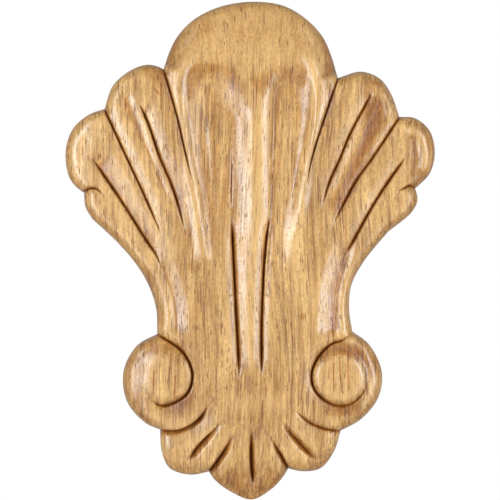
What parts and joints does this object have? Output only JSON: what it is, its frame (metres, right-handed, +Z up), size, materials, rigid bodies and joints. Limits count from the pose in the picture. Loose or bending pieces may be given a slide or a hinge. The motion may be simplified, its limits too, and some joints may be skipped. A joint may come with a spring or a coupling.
{
  "type": "carved wood applique",
  "caption": "Carved wooden ornament for furniture: a fan of petals over two volutes and a pointed foot, with a flat back.",
  "frame": {"origin": "on the flat back, at the middle of the piece's width and height", "axes": "+Y out of the flat back, so the carving faces -Y; +Z up along the height; +X to the right as seen from the front"},
  "size_m": [0.1411, 0.0193, 0.1901],
  "materials": {
    "wood": "golden hardwood, satin lacquer, grain running up the piece"
  },
  "bodies": {
    "root": {"applique": "wood"}
  },
  "joints": []
}
